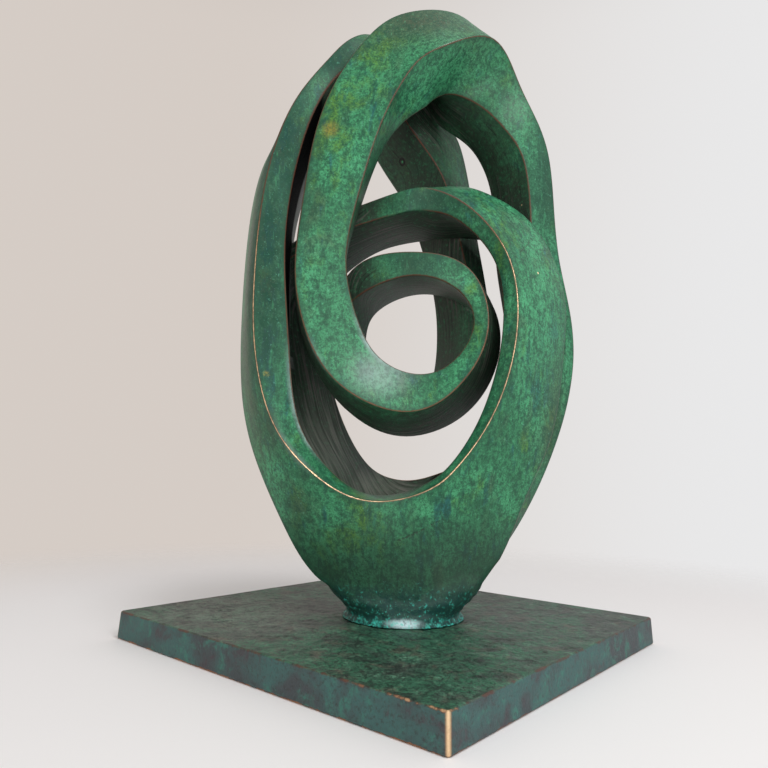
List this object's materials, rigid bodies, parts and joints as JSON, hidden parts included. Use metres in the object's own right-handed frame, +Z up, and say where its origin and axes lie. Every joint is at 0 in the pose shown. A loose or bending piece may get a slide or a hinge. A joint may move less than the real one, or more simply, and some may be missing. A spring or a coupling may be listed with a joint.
{
  "type": "looped ribbon bronze sculpture on a square plinth plate",
  "caption": "Abstract tabletop bronze: one thick four-sided ribbon coiled into a tall open loop with a small inner ring, cast with a short ringed foot and standing on a low square plate.",
  "frame": {"origin": "centre of the underside of the plinth plate", "axes": "+Z up, the sculpture's tallest direction; +X and +Y along the two sides of the square plate"},
  "size_m": [0.2412, 0.2252, 0.4193],
  "materials": {
    "green_bronze": "cast bronze with a mottled green patina, dark on the inner faces and worn on the ridges",
    "dark_bronze": "cast bronze with a dark grey-green patina, worn bright on the edges"
  },
  "bodies": {
    "root": {"looped_band": "green_bronze", "plinth_plate": "dark_bronze"}
  },
  "joints": []
}
